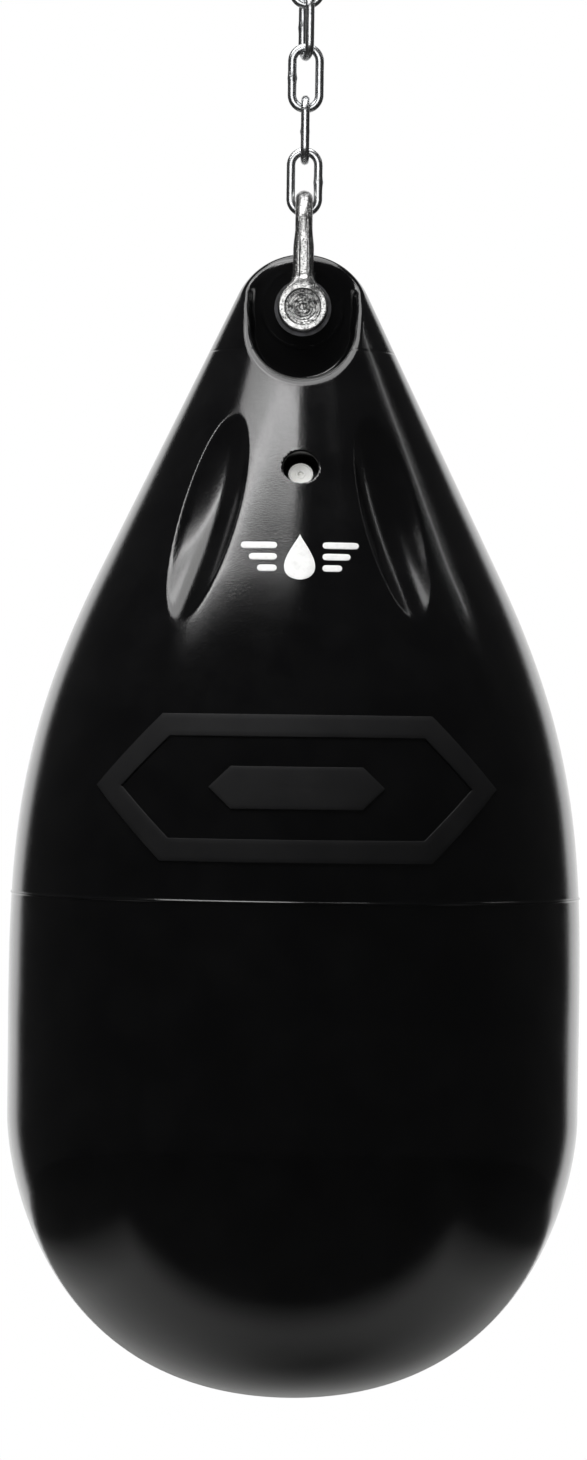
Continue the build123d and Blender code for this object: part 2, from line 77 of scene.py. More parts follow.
# ---------------------------------------------------------------- driving dimensions
# The outline and the hardware have the part's own sizes. The pockets and flutes have soft edges here,
# which the part's lack, so their numbers differ from its. A depth is measured from the top of the nose.
NOSE_RADIUS = 52.0
FLANK_LEAN = radians(25.84)
FLANK_LENGTH = 225.0
SHOULDER_PULL = 160.0
BELLY_PULL = 166.0
BELLY_RADIUS = 206.5
BELLY_DEPTH = 624.0
BELLY_DROP = 43.0
BOTTOM_PULL = 177.0
SEAM_DEPTH = 464.0
SEAM_HEIGHT = 0.8
SEAM_WIDTH = 0.9

WEB_HALF = 13.0
POCKET_UPPER_RADIUS = 38.4
POCKET_UPPER_DROP = 0.8
POCKET_LOWER_RADIUS = 36.8
POCKET_LOWER_DROP = 17.0
POCKET_RIM = 7.0
POCKET_FILLET = 6.0
SWING_ROOM = 4.0
SWING_ROOM_HALF = 31.0
SWING_ROOM_START = 2.0
SWING_ROOM_RISE = 25.0
FLOOR_RING_RADIUS = 29.0
FLOOR_RING_HEIGHT = 0.5
FLOOR_RING_WIDTH = 1.4
SLEEVE_HOLE_RADIUS = 11.05

FLUTE_AZIMUTH = radians(31.2)
FLUTE_TOP_DEPTH = 121.0
FLUTE_BOTTOM_DEPTH = 268.0
FLUTE_HALF_WIDTH = 24.0
FLUTE_DEPTH = 11.0
FLUTE_EDGE = 0.8

RECESS_RADIUS = 12.6
RECESS_DEPTH = 17.0
RECESS_RIM = 0.9

WIRE_RADIUS = 3.15
LINK_ARC_RADIUS = 9.9
LINK_TURN = {1: 0, 2: 90, 3: 180, 4: 105, 5: 0}  # degrees about the chain's axis

BOW_BAR_RADIUS = 6.3
BOW_LEG_Y = 22.3
EAR_RADIUS = 18.1
LEG_HALF_WIDTH = 7.5
PIN_RADIUS = 7.0
PIN_HEAD_RADIUS = 12.85
PIN_FACE_PITCH = 2.1
HEAD_RECESS_RADIUS = 13.0
HEAD_RECESS_DEPTH = 6.0


# ---------------------------------------------------------------- mesh helpers
def round_max(a, b, radius):
    """The larger of two fields, with the edge between them rounded."""
    inside = np.minimum(np.maximum(a, b), -radius)
    return inside + np.hypot(np.maximum(a + radius, 0), np.maximum(b + radius, 0))


def smooth_min(a, b, reach):
    """The smaller of two fields, blended where they are about equal."""
    mix = np.maximum(reach - np.abs(a - b), 0) / reach
    return np.minimum(a, b) - mix * mix * reach / 4


def smooth_step(start, end, values):
    t = np.clip((values - start) / (end - start), 0, 1)
    return t * t * (3 - 2 * t)


def slope_of(field, points, step=0.2):
    """The field's unit gradient and its length at each point."""
    columns = []
    for offset in step * np.eye(3):
        columns.append((field(*(points + offset).T) - field(*(points - offset).T)) / (2 * step))
    slope = np.stack(columns, axis=1)
    size = np.maximum(np.linalg.norm(slope, axis=1), 1e-6)[:, None]
    return slope / size, size


BLOCK = 4  # cells along each side of a coarse block
NEAR_BLOCKS = 1.6
PULL_ROUNDS = 5


def implicit_surface(field, lowest, highest, cell):
    """Vertices and quads where a field crosses zero, pulled onto the exact surface.

    The field is worked out once for each block of cells, and cell by cell only near the surface.
    """
    lowest = np.array(lowest, float)
    counts = np.ceil((np.array(highest) - lowest) / (cell * BLOCK)).astype(int)
    middles = [lowest[k] + cell * (BLOCK * (np.arange(counts[k]) + 0.5) - 0.5) for k in range(3)]
    rough = field(*np.meshgrid(*middles, indexing="ij")).astype(np.float32)
    values = rough.repeat(BLOCK, 0).repeat(BLOCK, 1).repeat(BLOCK, 2)
    near = np.argwhere(np.abs(values) < NEAR_BLOCKS * BLOCK * cell)
    values[tuple(near.T)] = field(*(lowest + near * cell).T)
    grid = openvdb.FloatGrid()
    grid.copyFromArray(values)
    points, quads = grid.convertToQuads(0.0)
    points = lowest + points.astype(float) * cell
    for _ in range(PULL_ROUNDS):
        direction, size = slope_of(field, points)
        move = (field(*points.T)[:, None] / size).clip(-cell / 2, cell / 2)
        points -= move * direction
    quads = quads.astype(int)
    corners = points[quads]
    facing = np.cross(corners[:, 2] - corners[:, 0], corners[:, 3] - corners[:, 1])
    outward = slope_of(field, corners.mean(axis=1))[0]
    if (facing * outward).sum() < 0:
        quads = quads[:, ::-1]
    return points, quads


def new_piece(name, points, faces, body, slot, material, replaced=(), normals=None, crease=None):
    """A smooth-shaded piece from points in millimetres, riding on a CAD body."""
    mesh = bpy.data.meshes.new(name)
    mesh.from_pydata((np.asarray(points) * MM).tolist(), [], [list(map(int, face)) for face in faces])
    mesh.shade_smooth()
    if crease is not None:
        mesh.set_sharp_from_angle(angle=radians(crease))
    if normals is not None:
        mesh.normals_split_custom_set_from_vertices(np.asarray(normals).tolist())
    mesh.materials.append(material)
    piece = bpy.data.objects.new(name, mesh)
    bpy.context.scene.collection.objects.link(piece)
    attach(piece, body)
    if replaced:
        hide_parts(*replaced)
    return piece


def field_piece(name, field, lowest, highest, cell, **facts):
    """A piece whose surface is the zero level of a field, with the field's own normals."""
    points, quads = implicit_surface(field, lowest, highest, cell)
    return new_piece(name, points, quads, normals=slope_of(field, points)[0], **facts)


def ring_faces(rings, sides, closed_rings=False):
    """Quads between successive rings that have the same number of points."""
    faces = []
    for ring in range(rings if closed_rings else rings - 1):
        here = ring * sides
        after = (ring + 1) % rings * sides
        for side in range(sides):
            beside = (side + 1) % sides
            faces.append((here + side, here + beside, after + beside, after + side))
    return faces


TURNED_CREASE = 28


def lathe_points(profile, origin, axis, sides, swell=None):
    """Rings of points turned about an axis. The profile rows are a radius and a distance along it."""
    axis = Vector(axis).normalized()
    first = axis.orthogonal().normalized()
    second = axis.cross(first)
    points = []
    for radius, along in profile:
        for side in range(sides):
            angle = 2 * pi * side / sides
            reach = radius + (swell(angle, radius, along) if swell else 0)
            offset = first * reach * cos(angle) + second * reach * sin(angle)
            points.append(Vector(origin) + axis * along + offset)
    return points


def lathe_piece(name, profile, origin, axis, sides=96, swell=None, **facts):
    """A turned piece. Its profile starts and ends on the axis side, and both ends are capped."""
    points = lathe_points(profile, origin, axis, sides, swell)
    faces = ring_faces(len(profile), sides)
    faces.append(tuple(reversed(range(sides))))
    last = (len(profile) - 1) * sides
    faces.append(tuple(range(last, last + sides)))
    return new_piece(name, points, faces, crease=TURNED_CREASE, **facts)


# ---------------------------------------------------------------- node helpers
class Nodes:
    """A short way to add and join the nodes of one material."""

    def __init__(self, name):
        self.material = bpy.data.materials.new(name)
        self.material.use_nodes = True
        self.tree = self.material.node_tree
        self.shader = self.tree.nodes["Principled BSDF"]
        self.place = self.add("ShaderNodeTexCoord").outputs["Object"]

    def add(self, kind, **values):
        node = self.tree.nodes.new(kind)
        for key, value in values.items():
            setattr(node, key, value)
        return node

    def join(self, source, target):
        self.tree.links.new(source, target)

    def set(self, **values):
        for key, value in values.items():
            self.shader.inputs[key.replace("_", " ")].default_value = value

    def noise(self, size_mm, detail=2.0, roughness=0.5, stretch=(1, 1, 1)):
        """A noise whose lumps are about the given size."""
        mapping = self.add("ShaderNodeMapping")
        mapping.inputs["Scale"].default_value = stretch
        self.join(self.place, mapping.inputs["Vector"])
        node = self.add("ShaderNodeTexNoise")
        node.inputs["Scale"].default_value = 1 / (size_mm * MM)
        node.inputs["Detail"].default_value = detail
        node.inputs["Roughness"].default_value = roughness
        self.join(mapping.outputs["Vector"], node.inputs["Vector"])
        return node.outputs["Fac"]

    def spots(self, size_mm):
        """The distance from the nearest of many scattered points, for pits."""
        node = self.add("ShaderNodeTexVoronoi")
        node.inputs["Scale"].default_value = 1 / (size_mm * MM)
        self.join(self.place, node.inputs["Vector"])
        return node.outputs["Distance"]

    def spread(self, value, from_low, from_high, to_low, to_high):
        node = self.add("ShaderNodeMapRange")
        for key, number in zip(("From Min", "From Max", "To Min", "To Max"),
                               (from_low, from_high, to_low, to_high)):
            node.inputs[key].default_value = number
        self.join(value, node.inputs["Value"])
        return node.outputs["Result"]

    def math(self, operation, a, b=None):
        node = self.add("ShaderNodeMath", operation=operation)
        for slot, value in enumerate((a, b)):
            if value is None:
                continue
            if isinstance(value, (int, float)):
                node.inputs[slot].default_value = value
            else:
                self.join(value, node.inputs[slot])
        return node.outputs["Value"]

    def colours(self, value, first, second):
        """A colour that runs from the first to the second as the value goes from 0 to 1."""
        node = self.add("ShaderNodeMix", data_type="RGBA")
        node.inputs[6].default_value = (*first, 1)
        node.inputs[7].default_value = (*second, 1)
        self.join(value, node.inputs[0])
        self.join(node.outputs[2], self.shader.inputs["Base Color"])

    def bumps(self, *layers):
        """Bump layers, each a value and its height in millimetres."""
        normal = None
        for value, height_mm in layers:
            node = self.add("ShaderNodeBump")
            node.inputs["Strength"].default_value = 1.0
            node.inputs["Distance"].default_value = height_mm * MM
            self.join(value, node.inputs["Height"])
            if normal:
                self.join(normal, node.inputs["Normal"])
            normal = node.outputs["Normal"]
        self.join(normal, self.shader.inputs["Normal"])

    def position(self, axis):
        """One coordinate of the place, in metres."""
        node = self.add("ShaderNodeSeparateXYZ")
        self.join(self.place, node.inputs["Vector"])
        return node.outputs[axis]

    def from_axis(self):
        """The distance from the bag's axis, in metres."""
        squares = [self.math("POWER", self.position(axis), 2.0) for axis in "XY"]
        return self.math("SQRT", self.math("ADD", *squares))

    def near(self, value, centre, width):
        """1 where the value is at the centre, falling to 0 a width away."""
        away = self.math("ABSOLUTE", self.math("SUBTRACT", value, centre))
        return self.spread(away, 0.0, width, 1.0, 0.0)


# ---------------------------------------------------------------- materials
PARTING_WIDTH = 0.9
PARTING_START = 60.0


def vinyl():
    """Glossy black vinyl: a fine moulded grain, faint waves, scuffs that dull the gloss, and the line
    where the nose meets the skin."""
    m = Nodes("vinyl")
    m.set(Specular_IOR_Level=0.5, Coat_Weight=0.35, Coat_Roughness=0.07)
    scuffs = m.noise(38, detail=6, roughness=0.62)
    grain = m.noise(1.1, detail=2)
    gloss = m.math("ADD", m.spread(scuffs, 0.35, 0.75, 0.09, 0.15), m.spread(grain, 0.3, 0.7, -0.02, 0.02))
    m.join(gloss, m.shader.inputs["Roughness"])
    m.colours(m.spread(scuffs, 0.4, 0.8, 0.0, 1.0), (0.0045, 0.0045, 0.005), (0.009, 0.009, 0.0095))
    at_joint = m.near(m.position("Z"), NOSE_JOINT * MM, PARTING_WIDTH * MM)
    outside = m.math("GREATER_THAN", m.from_axis(), PARTING_START * MM)
    parting = m.math("MULTIPLY", at_joint, outside)
    m.bumps((m.noise(90, detail=1), 0.9), (grain, 0.08), (parting, -0.25))
    return m.material


def printed_ink():
    """White ink, a little worn."""
    m = Nodes("printed_ink")
    wear = m.noise(5, detail=5, roughness=0.7)
    m.colours(m.spread(wear, 0.45, 0.8, 0.0, 1.0), (0.84, 0.84, 0.83), (0.70, 0.70, 0.69))
    m.join(m.spread(wear, 0.3, 0.7, 0.42, 0.58), m.shader.inputs["Roughness"])
    m.bumps((m.noise(0.9), 0.03))
    return m.material


def raised_emblem():
    """Charcoal rubbery print that stands a little proud of the vinyl."""
    m = Nodes("raised_emblem")
    speckle = m.noise(0.7, detail=3, roughness=0.7)
    cloud = m.noise(26, detail=4)
    m.colours(m.spread(cloud, 0.3, 0.7, 0.0, 1.0), (0.016, 0.016, 0.017), (0.023, 0.023, 0.024))
    m.set(Specular_IOR_Level=0.3)
    m.join(m.spread(speckle, 0.3, 0.7, 0.52, 0.68), m.shader.inputs["Roughness"])
    m.bumps((speckle, 0.06))
    return m.material


PIT_SIZE = 1.6


def zinc(name, colour, dark, gloss, pit_mm=0.0):
    """Zinc plate: cloudy spangle, small stains, and pits where the steel below is forged, with painted shade that
    darkens the pits.
    """
    m = Nodes(name)
    m.set(Metallic=1.0)
    cloud = m.noise(3.5, detail=6, roughness=0.65)
    fine = m.noise(0.5, detail=3, roughness=0.6)
    stain = m.spread(cloud, 0.35, 0.72, 0.0, 1.0)
    m.join(m.spread(fine, 0.3, 0.7, gloss - 0.07, gloss + 0.09), m.shader.inputs["Roughness"])
    layers = [(fine, 0.03), (cloud, 0.12)]
    if pit_mm:
        level = m.spread(m.spots(PIT_SIZE), 0.0, 0.35, 0.0, 1.0)
        layers.append((level, pit_mm))
        # Painted shade: the pits take the dark colour too, on top of the stains.
        stain = m.math("MAXIMUM", stain, m.math("SUBTRACT", 1.0, level))
    m.colours(stain, colour, dark)
    m.bumps(*layers)
    return m.material


def turned_face():
    """The pin's head: turned rings about the pin's axis, worn and stained in spots."""
    m = Nodes("turned_steel")
    m.set(Metallic=1.0)
    speckle = m.noise(2.0, detail=4, roughness=0.7)
    m.colours(m.spread(speckle, 0.45, 0.58, 0.0, 1.0), (0.74, 0.74, 0.73), (0.07, 0.07, 0.07))
    m.join(m.spread(speckle, 0.3, 0.7, 0.28, 0.45), m.shader.inputs["Roughness"])
    up = m.math("SUBTRACT", m.position("Z"), PIN_Z * MM)
    reach = m.math("SQRT", m.math("ADD", m.math("POWER", m.position("X"), 2.0), m.math("POWER", up, 2.0)))
    rings = m.math("SINE", m.math("MULTIPLY", reach, 2 * pi / (PIN_FACE_PITCH * MM)))
    m.bumps((rings, 0.16), (speckle, 0.25))
    return m.material


def smooth_metal(name, colour, dark, gloss):
    """Ground, blackened or machined metal with a faint brushed grain."""
    m = Nodes(name)
    m.set(Metallic=1.0)
    brush = m.noise(0.35, detail=3, stretch=(1, 1, 12))
    stain = m.noise(6, detail=4)
    m.colours(m.spread(stain, 0.35, 0.7, 0.0, 1.0), colour, dark)
    m.join(m.spread(brush, 0.3, 0.7, gloss, gloss + 0.12), m.shader.inputs["Roughness"])
    m.bumps((brush, 0.015))
    return m.material


def moulded(name, colour, shade, gloss, bump_mm=0.03):
    """Moulded plastic or rubber with a fine matt texture."""
    m = Nodes(name)
    fine = m.noise(0.5, detail=3)
    cloud = m.noise(7, detail=3)
    m.colours(m.spread(cloud, 0.35, 0.7, 0.0, 1.0), colour, shade)
    m.join(m.spread(fine, 0.3, 0.7, gloss - 0.05, gloss + 0.05), m.shader.inputs["Roughness"])
    m.bumps((fine, bump_mm))
    return m.material


def water():
    """Clear water with a slow swell."""
    m = Nodes("water")
    m.set(Base_Color=(0.80, 0.92, 0.96, 1), Roughness=0.02, IOR=1.33, Transmission_Weight=1.0)
    m.bumps((m.noise(40, detail=1), 0.4))
    return m.material


materials = {
    "vinyl": vinyl(),
    "printed_ink": printed_ink(),
    "raised_emblem": raised_emblem(),
    "chain_steel": zinc("chain_steel", (0.70, 0.71, 0.72), (0.50, 0.51, 0.52), 0.26),
    "forged_steel": zinc("forged_steel", (0.66, 0.66, 0.65), (0.17, 0.17, 0.17), 0.28, pit_mm=0.35),
    "plated_steel": zinc("plated_steel", (0.66, 0.67, 0.68), (0.50, 0.50, 0.51), 0.24),
    "turned_steel": turned_face(),
    "dark_steel": smooth_metal("dark_steel", (0.06, 0.06, 0.065), (0.03, 0.03, 0.03), 0.35),
    "bearing_steel": smooth_metal("bearing_steel", (0.78, 0.78, 0.80), (0.62, 0.62, 0.64), 0.10),
    "cage_brass": smooth_metal("cage_brass", (0.70, 0.52, 0.22), (0.50, 0.36, 0.14), 0.22),
    "valve_plastic": moulded("valve_plastic", (0.022, 0.022, 0.023), (0.032, 0.032, 0.033), 0.42),
    "plug_nylon": moulded("plug_nylon", (0.78, 0.78, 0.76), (0.68, 0.68, 0.65), 0.34),
    "rubber": moulded("rubber", (0.014, 0.014, 0.014), (0.022, 0.022, 0.022), 0.62, bump_mm=0.05),
    "water": water(),
}

for part in frame["record"]["subparts"]:
    node = frame["nodes"][part["node"]]
    node.data.materials.clear()
    node.data.materials.append(materials[part["material_slot"]])


# ---------------------------------------------------------------- the bag's outline
def bezier(p0, p1, p2, p3, count):
    t = np.linspace(0, 1, count)[:, None]
    ends = (1 - t) ** 3 * np.array(p0) + t**3 * np.array(p3)
    return ends + 3 * (1 - t) ** 2 * t * np.array(p1) + 3 * (1 - t) * t**2 * np.array(p2)


def bag_outline():
    """Rows of radius and depth from the top of the nose to the middle of the bottom."""
    turn = np.linspace(0, pi / 2 - FLANK_LEAN, 120)
    nose = NOSE_RADIUS * np.stack([np.sin(turn), 1 - np.cos(turn)], axis=1)
    slope = np.array([sin(FLANK_LEAN), cos(FLANK_LEAN)])
    flank_end = nose[-1] + FLANK_LENGTH * slope
    flank = nose[-1] + np.linspace(0, FLANK_LENGTH, 60)[:, None] * slope
    widest = (BELLY_RADIUS, BELLY_DEPTH)
    above = (BELLY_RADIUS, BELLY_DEPTH - BELLY_PULL)
    below = (BELLY_RADIUS, BELLY_DEPTH + BELLY_DROP)
    shoulder = bezier(flank_end, flank_end + SHOULDER_PULL * slope, above, widest, 400)
    bottom = bezier(widest, below, (BOTTOM_PULL, BAG_HEIGHT), (0, BAG_HEIGHT), 400)
    return np.concatenate([nose, flank[1:], shoulder[1:], bottom[1:]])


OUTLINE = bag_outline()
STEPS = np.diff(OUTLINE, axis=0)
REACH = np.concatenate([[0], np.cumsum(np.hypot(*STEPS.T))])
STEEPNESS = np.gradient(OUTLINE[:, 1], REACH)


def bag_radius(depth):
    return np.interp(depth, OUTLINE[:, 1], OUTLINE[:, 0])


def outer_field(x, y, depth):
    """Distance outside the bag's plain outer form, above its widest part."""
    rho = np.hypot(x, y)
    along = rho * sin(FLANK_LEAN) + (depth - NOSE_RADIUS) * cos(FLANK_LEAN)
    nose = np.hypot(rho, depth - NOSE_RADIUS) - NOSE_RADIUS
    flank = rho * cos(FLANK_LEAN) - (depth - NOSE_RADIUS) * sin(FLANK_LEAN) - NOSE_RADIUS
    shoulder = (rho - bag_radius(depth)) * np.interp(depth, OUTLINE[:, 1], STEEPNESS)
    return np.where(along < 0, nose, np.where(along < FLANK_LENGTH, flank, shoulder))


def pocket_outline(x, z):
    """Distance outside the pocket's egg-shaped outline. z is measured from the pin."""
    height = POCKET_LOWER_DROP - POCKET_UPPER_DROP
    rise = z + POCKET_LOWER_DROP
    lean = (POCKET_LOWER_RADIUS - POCKET_UPPER_RADIUS) / height
    level = (1 - lean * lean) ** 0.5
    across = np.abs(x)
    along = -lean * across + level * rise
    side = level * across + lean * rise - POCKET_LOWER_RADIUS
    lower = np.hypot(across, rise) - POCKET_LOWER_RADIUS
    upper = np.hypot(across, rise - height) - POCKET_UPPER_RADIUS
    return np.where(along < 0, lower, np.where(along > level * height, upper, side))


def pocket_field(x, y, z):
    """Distance outside the pockets, one in front of the web and one behind it.

    Each is a little wider above the pin, where the shackle's legs swing, and has a faint ring in its floor.
    """
    away = np.abs(y)
    room = SWING_ROOM * (1 - smooth_step(SWING_ROOM_HALF - 1, SWING_ROOM_HALF + 1, away))
    room = room * smooth_step(SWING_ROOM_START, SWING_ROOM_START + SWING_ROOM_RISE, z)
    from_ring = (np.hypot(x, z) - FLOOR_RING_RADIUS) / FLOOR_RING_WIDTH
    ring = FLOOR_RING_HEIGHT * np.exp(-(from_ring**2))
    return round_max(pocket_outline(x, z) - room, WEB_HALF + ring - away, POCKET_FILLET)


def flute_cut(x, y, depth):
    """How far each flute sinks the flank: a long hollow with a crisp edge all round."""
    t = np.clip((depth - FLUTE_TOP_DEPTH) / (FLUTE_BOTTOM_DEPTH - FLUTE_TOP_DEPTH), -0.3, 1.3)
    fullness = 4 * t * (1 - t)
    across = (np.arctan2(np.abs(x), np.abs(y)) - FLUTE_AZIMUTH) * np.hypot(x, y)
    hollow = FLUTE_DEPTH * (fullness - (across / FLUTE_HALF_WIDTH) ** 2)
    return (hollow + np.hypot(hollow, FLUTE_EDGE)) / 2


def valve_recess(x, y, z):
    """Distance outside the round recess that holds the fill valve."""
    offset = np.stack([x, y, z], axis=-1) - VALVE
    along = offset @ VALVE_AXIS
    radial = np.linalg.norm(offset - along[..., None] * VALVE_AXIS, axis=-1)
    return np.maximum(radial - RECESS_RADIUS, -RECESS_DEPTH - along)


def bag_field(x, y, z):
    """Negative inside the bag's upper part: nose, pockets, flutes and valve recess."""
    depth = NOSE_TOP - z
    solid = outer_field(x, y, depth) + flute_cut(x, y, depth)
    solid = round_max(solid, -pocket_field(x, y, z - PIN_Z), POCKET_RIM)
    solid = np.maximum(solid, SLEEVE_HOLE_RADIUS - np.hypot(x, z - PIN_Z))
    return round_max(solid, -valve_recess(x, y, z), RECESS_RIM)


# ---------------------------------------------------------------- the bag
FIELD_DEPTH = 300.0
FIELD_HALF_WIDTH = 186
BAG_CELL = 1.5
RING_SIDES = 400
RING_SPACING = 4.5
BAND_HEIGHT = 3.0
POLE_GAP = 1.0


def lower_bag_profile():
    """Rows of radius and depth below the field's part, close together at the seam bead."""
    start = np.interp(FIELD_DEPTH + BAND_HEIGHT, OUTLINE[:, 1], REACH)
    seam = np.interp(SEAM_DEPTH, OUTLINE[:, 1], REACH)
    even = np.arange(start, REACH[-1] - POLE_GAP, RING_SPACING)
    fine = seam + SEAM_WIDTH * np.linspace(-3, 3, 17)
    stations = np.sort(np.concatenate([even[np.abs(even - seam) > 4], fine]))
    radius = np.interp(stations, REACH, OUTLINE[:, 0])
    depth = np.interp(stations, REACH, OUTLINE[:, 1])
    bead = SEAM_HEIGHT * np.exp(-(((stations - seam) / SEAM_WIDTH) ** 2))
    return np.stack([radius + bead, depth], axis=1)


def bag_mesh(material):
    """The whole outer surface: a field above, rings below, and a band of faces between them."""
    lowest = (-FIELD_HALF_WIDTH, -FIELD_HALF_WIDTH, NOSE_TOP - FIELD_DEPTH - 6 * BAG_CELL)
    highest = (FIELD_HALF_WIDTH, FIELD_HALF_WIDTH, NOSE_TOP + 4 * BAG_CELL)
    points, quads = implicit_surface(bag_field, lowest, highest, BAG_CELL)
    bm = bmesh.new()
    upper = [bm.verts.new(point) for point in points]
    for quad in quads:
        bm.faces.new([upper[k] for k in quad])
    geometry = bm.verts[:] + bm.edges[:] + bm.faces[:]
    bmesh.ops.bisect_plane(bm, geom=geometry, dist=0.02, plane_co=(0, 0, NOSE_TOP - FIELD_DEPTH),
                           plane_no=(0, 0, -1), clear_outer=True)
    top_loop = [edge for edge in bm.edges if edge.is_boundary]
    profile = lower_bag_profile()
    turns = 2 * pi * np.arange(RING_SIDES) / RING_SIDES
    rings = []
    for radius, depth in profile:
        rings.append([bm.verts.new((radius * cos(a), radius * sin(a), NOSE_TOP - depth)) for a in turns])
    for above, below in zip(rings, rings[1:]):
        for k in range(RING_SIDES):
            j = (k + 1) % RING_SIDES
            bm.faces.new((above[k], above[j], below[j], below[k]))
    pole = bm.verts.new((0, 0, BAG_BOTTOM))
    for k in range(RING_SIDES):
        bm.faces.new((rings[-1][k], rings[-1][(k + 1) % RING_SIDES], pole))
    first = [bm.edges.get((rings[0][k], rings[0][(k + 1) % RING_SIDES])) for k in range(RING_SIDES)]
    bmesh.ops.bridge_loops(bm, edges=top_loop + first)
    bmesh.ops.recalc_face_normals(bm, faces=bm.faces)
    bm.verts.index_update()
    places = np.array([vert.co for vert in bm.verts])
    faces = [[vert.index for vert in face.verts] for face in bm.faces]
    bm.free()
    return places, faces


def bag_normals(points):
    """Smooth normals: from the field above, and from the outline's slope below."""
    depth = NOSE_TOP - points[:, 2]
    normals = np.zeros_like(points)
    upper = depth < FIELD_DEPTH + 1
    normals[upper] = slope_of(bag_field, points[upper])[0]
    profile = lower_bag_profile()
    profile = np.concatenate([profile, [[0.0, BAG_HEIGHT]]])
    reach = np.concatenate([[0], np.cumsum(np.hypot(*np.diff(profile, axis=0).T))])
    out = np.gradient(profile[:, 1], reach)
    up = np.gradient(profile[:, 0], reach)
    out[-1], up[-1] = 0.0, -1.0
    rho = np.hypot(points[:, 0], points[:, 1])
    low_depth = depth[~upper]
    outward = np.interp(low_depth, profile[:, 1], out)
    upward = np.interp(low_depth, profile[:, 1], up)
    turn = np.arctan2(points[~upper, 1], points[~upper, 0])
    flat = np.where(rho[~upper] < 1e-6, 0.0, outward)
    lower = np.stack([flat * np.cos(turn), flat * np.sin(turn), upward], axis=1)
    normals[~upper] = lower / np.linalg.norm(lower, axis=1)[:, None]
    return normals


bag_points, bag_faces = bag_mesh(materials["vinyl"])
new_piece("bag_shell", bag_points, bag_faces, body="bag", slot="vinyl", material=materials["vinyl"],
          replaced=("nose_block", "bag_skin"), normals=bag_normals(bag_points))


# ---------------------------------------------------------------- prints on the front of the bag
INK_HEIGHT = 0.12
EMBLEM_HEIGHT = 1.2
EMBLEM_DEPTH = 385.0
EMBLEM_HALF_WIDTH = 155.0
EMBLEM_HALF_HEIGHT = 52.0
EMBLEM_TOP_HALF = 98.0
EMBLEM_BAND = 16.0
CORE_HALF_WIDTH = 62.0
CORE_HALF_HEIGHT = 15.0
CORE_TOP_HALF = 46.0
PRINT_DEPTH = 223.5
DROP_HALF_WIDTH = 12.0
DROP_HALF_HEIGHT = 18.0
BAR_HALF_LENGTHS = (13.0, 10.0, 7.0)
BAR_HALF_HEIGHT = 2.6
BAR_PITCH = 9.0
BAR_START = 16.0


def on_front(across, down, height):
    """A point above the bag's front: arc length to the right, length along the outline, height."""
    radius = np.interp(down, REACH, OUTLINE[:, 0])
    depth = np.interp(down, REACH, OUTLINE[:, 1])
    outward = np.interp(down, REACH, STEEPNESS)
    turn = across / radius
    rho = radius + height * outward
    rise = NOSE_TOP - depth + height * (1 - outward * outward) ** 0.5
    return np.stack([rho * np.sin(turn), -rho * np.cos(turn), rise], axis=-1)


def hexagon(inset, half_width, half_height, top_half, per_side=40):
    """Points round a long hexagon, moved in by the inset."""
    run = half_width - top_half
    slant = (run**2 + half_height**2) ** 0.5
    tip = half_width - inset * slant / half_height
    level = half_height - inset
    shoulder = tip - run / half_height * level
    corners = [(tip, 0), (shoulder, level), (-shoulder, level),
               (-tip, 0), (-shoulder, -level), (shoulder, -level)]
    t = np.linspace(0, 1, per_side, endpoint=False)[:, None]
    sides = []
    for start, end in zip(corners, corners[1:] + corners[:1]):
        sides.append(np.array(start) + t * (np.array(end) - np.array(start)))
    return np.concatenate(sides)


def raised_hexagon(name, rows, size, filled):
    """A raised shape from nested hexagons. The rows are an inset and a height."""
    middle = np.interp(EMBLEM_DEPTH, OUTLINE[:, 1], REACH)
    loops = []
    for inset, height in rows:
        outline = hexagon(inset, *size)
        loops.append(on_front(outline[:, 0], middle + outline[:, 1], height))
    sides = len(loops[0])
    if filled:
        for k in (0.8, 0.6, 0.4, 0.2):
            loops.append(on_front(k * outline[:, 0], middle + k * outline[:, 1], height))
    points = np.concatenate(loops)
    faces = ring_faces(len(loops), sides)
    if filled:
        points = np.concatenate([points, on_front(np.zeros(1), np.full(1, middle), EMBLEM_HEIGHT)])
        start = (len(loops) - 1) * sides
        faces += [(start + k, start + (k + 1) % sides, len(points) - 1) for k in range(sides)]
    faces = [face[::-1] for face in faces]
    return new_piece(name, points, faces, body="bag", slot="vinyl", material=materials["raised_emblem"],
                     crease=35)


def emblem():
    """A dark hexagonal ring with a bar in its middle. Each row is an inset and a height."""
    top = EMBLEM_HEIGHT
    edge = [(0, -0.6), (0, 0.6 * top), (0.2, 0.9 * top), (0.7, top)]
    ring = edge + [(inset, top) for inset in (4, 8, 12)]
    ring += [(EMBLEM_BAND - inset, height) for inset, height in reversed(edge)]
    outer = (EMBLEM_HALF_WIDTH, EMBLEM_HALF_HEIGHT, EMBLEM_TOP_HALF)
    raised_hexagon("emblem_ring", ring, outer, filled=False)
    core = edge + [(inset, top) for inset in (3, 6)]
    inner = (CORE_HALF_WIDTH, CORE_HALF_HEIGHT, CORE_TOP_HALF)
    raised_hexagon("emblem_core", core, inner, filled=True)


def ink_patch(name, rows, across, down, sideways):
    """A thin printed shape. Its rows are a place along its own axis and a half width there."""
    steps = np.array([-1, -0.97, -0.5, 0, 0.5, 0.97, 1])
    heights = np.array([-0.2, 1, 1, 1, 1, 1, -0.2]) * INK_HEIGHT
    points = []
    for row, (along, half) in enumerate(rows):
        level = heights if 0 < row < len(rows) - 1 else np.full(len(steps), heights[0])
        side = half * steps
        place = (across + along, down + side) if sideways else (across + side, down + along)
        points.append(on_front(*np.broadcast_arrays(*place), level))
    width = len(steps)
    faces = []
    for row in range(len(rows) - 1):
        for column in range(width - 1):
            corner = row * width + column
            face = (corner, corner + 1, corner + width + 1, corner + width)
            faces.append(face if sideways else face[::-1])
    new_piece(name, np.concatenate(points), faces, body="bag", slot="plug_nylon",
              material=materials["printed_ink"])


